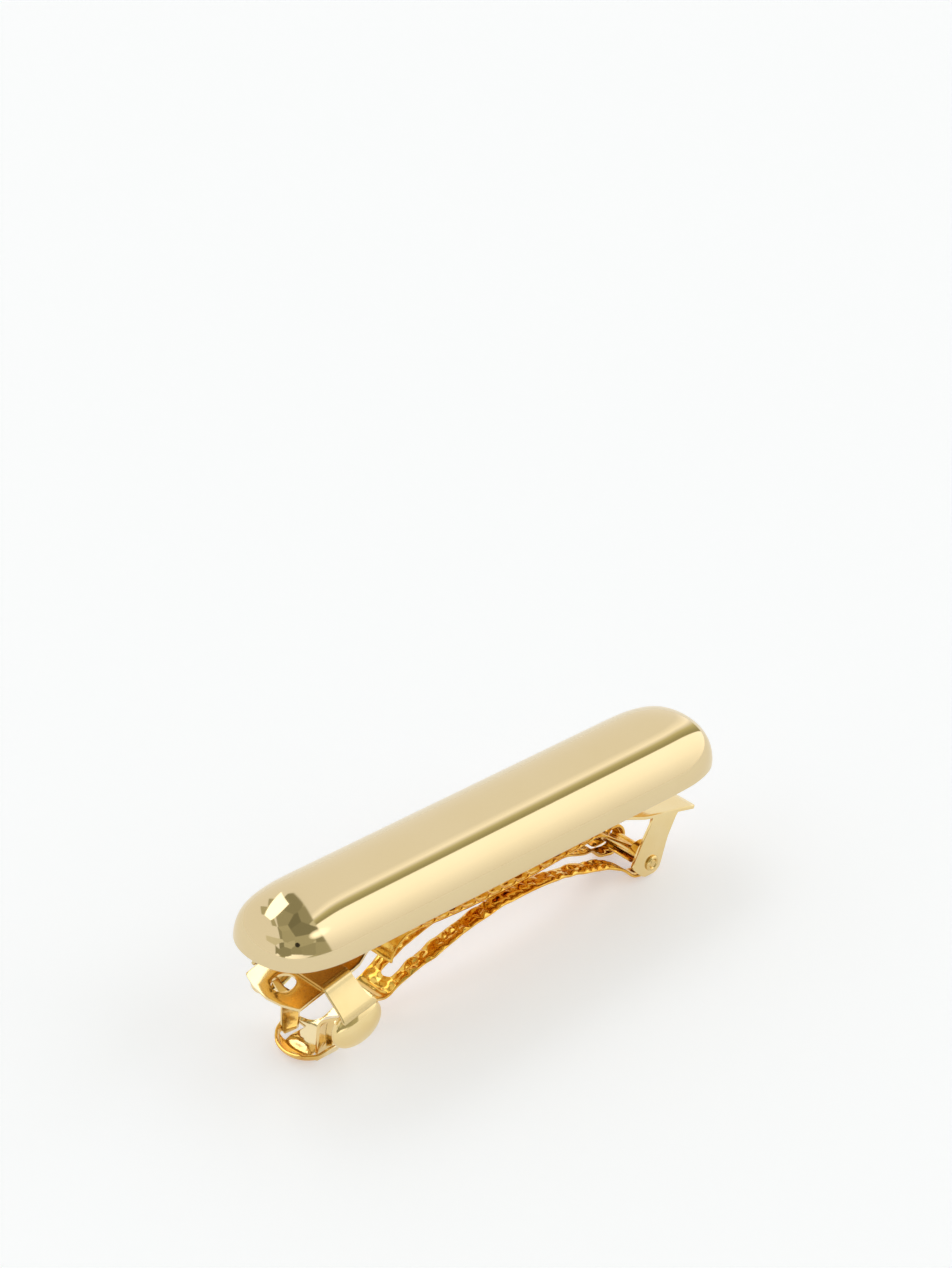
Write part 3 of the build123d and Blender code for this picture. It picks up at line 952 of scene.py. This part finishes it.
def make_light():
    """A bright tent around the clip: a front wall, a dark gap above it and a soft ceiling."""
    world = bpy.data.worlds.new("studio tent")
    bpy.context.scene.world = world
    world.use_nodes = True
    tree = world.node_tree
    direction = add_node(tree, "ShaderNodeTexCoord").outputs["Generated"]
    facing = add_node(
        tree, "ShaderNodeVectorMath", {"operation": "DOT_PRODUCT"}, {0: direction, 1: (-0.289, 0.867, 0.407)}
    )
    place = Level(tree, facing.outputs["Value"]) * 0.5 + 0.5
    def tone(level):
        """Grey, or olive in the dark gap."""
        return dusky(level / TENT_STRENGTH) if level < 0.8 else grey(level / TENT_STRENGTH)

    stops = (
        (-1.0, 0.95), (-0.86, 0.97), (-0.7, 1.15), (-0.5, 1.36), (-0.3, 1.46), (-0.1, 1.5), (-0.085, 0.38),
        (-0.02, 0.46), (0.05, 0.66), (0.10, 1.0), (0.135, 1.3), (0.17, 1.2), (0.25, 0.98), (1.0, 0.95),
    )
    ramp = add_node(
        tree, "ShaderNodeValToRGB",
        {"stops": [((s + 1) / 2, tone(level)) for s, level in stops]},
        {"Fac": place},
    )
    towards = add_node(
        tree, "ShaderNodeVectorMath", {"operation": "ADD"}, {0: direction, 1: (-0.627, -0.595, 0.503)}
    )
    halfway = add_node(
        tree, "ShaderNodeVectorMath", {"operation": "NORMALIZE"}, {0: towards.outputs["Vector"]}
    ).outputs["Vector"]
    sideways, upwards = [
        Level(tree, add_node(
            tree, "ShaderNodeVectorMath", {"operation": "DOT_PRODUCT"}, {0: halfway, 1: axis}
        ).outputs["Value"])
        for axis in ((0.711, -0.701, 0.056), (0.319, 0.393, 0.863))
    ]
    endwise = Level(tree, add_node(tree, "ShaderNodeSeparateXYZ", None, {0: halfway}).outputs["X"])
    shards = add_node(tree, "ShaderNodeTexVoronoi", None, {"Vector": halfway, "Scale": 4.2})
    split = add_node(tree, "ShaderNodeSeparateColor", None, {0: shards.outputs["Color"]})
    red, green, blue = [Level(tree, split.outputs[channel]) for channel in range(3)]

    def past(level, soft=0.012):
        """1 where the level is above nothing, with a narrow soft edge."""
        edge = add_node(
            tree, "ShaderNodeMapRange", {"clamp": True}, {"Value": level, "From Min": 0.0, "From Max": soft}
        )
        return Level(tree, edge.outputs["Result"])

    def spot(across, up, size, soft=0.006):
        """1 inside a round patch of the studio."""
        over, above = sideways - across, upwards - up
        return past(size * size - over * over - above * above, soft)

    opening = past(sideways + 0.26 + red * 0.26) * past(0.7 + green * 0.14 - upwards)
    opening = opening * past(upwards + 0.34 - green * 0.14) * past(-0.2 - endwise)
    facet = add_node(
        tree, "ShaderNodeValToRGB",
        {
            "stops": [
                (0.0, (0.10, 0.098, 0.066)), (0.4, (0.16, 0.157, 0.11)),
                (0.7, (0.25, 0.246, 0.18)), (1.0, (0.36, 0.355, 0.3)),
            ],
        },
        {"Fac": blue},
    )
    lengthwise = (sideways + 0.28) * 0.62 + (upwards - 0.62) * 0.785
    crosswise = (sideways + 0.28) * 0.785 - (upwards - 0.62) * 0.62
    lamp = past(0.03 - lengthwise * lengthwise, 0.002)
    lamp = lamp * past(0.006 + lengthwise * 0.02 - crosswise * crosswise, 0.001)
    shade = ramp.outputs["Color"]
    for share, colour in (
        (opening, facet.outputs["Color"]),
        (lamp, (1.0, 1.0, 1.0, 1.0)),
        (spot(0.36, 0.22, 0.1, 0.012), (0.95, 0.95, 0.95, 1.0)),
        (spot(0.08, 0.02, 0.06, 0.0008), (0.02, 0.018, 0.015, 1.0)),
    ):
        shade = add_node(
            tree, "ShaderNodeMix", {"data_type": "RGBA"}, {"Factor": share, 6: shade, 7: colour}
        ).outputs[2]
    seen = add_node(tree, "ShaderNodeLightPath").outputs["Is Camera Ray"]
    plain = add_node(
        tree, "ShaderNodeMix", {"data_type": "RGBA"}, {"Factor": seen, 6: shade, 7: (*grey(0.42), 1.0)}
    )
    background = tree.nodes["Background"]
    tree.links.new(plain.outputs[2], background.inputs["Color"])
    background.inputs["Strength"].default_value = TENT_STRENGTH


def make_camera():
    """The camera, a little above the clip's clasp end."""
    data = bpy.data.cameras.new("studio camera")
    camera = bpy.data.objects.new("studio camera", data)
    bpy.context.scene.collection.objects.link(camera)
    data.sensor_width = 36.0
    data.lens = LENS
    data.clip_start = 0.01
    data.clip_end = 20.0
    turn = Matrix((CAMERA_RIGHT, CAMERA_UP, CAMERA_BACK)).transposed()
    camera.matrix_world = Matrix.Translation((-0.29778, -0.27898, 0.28654)) @ turn.to_4x4()
    bpy.context.scene.camera = camera


make_floor()
make_light()
make_camera()
bpy.context.scene.view_settings.view_transform = "Standard"
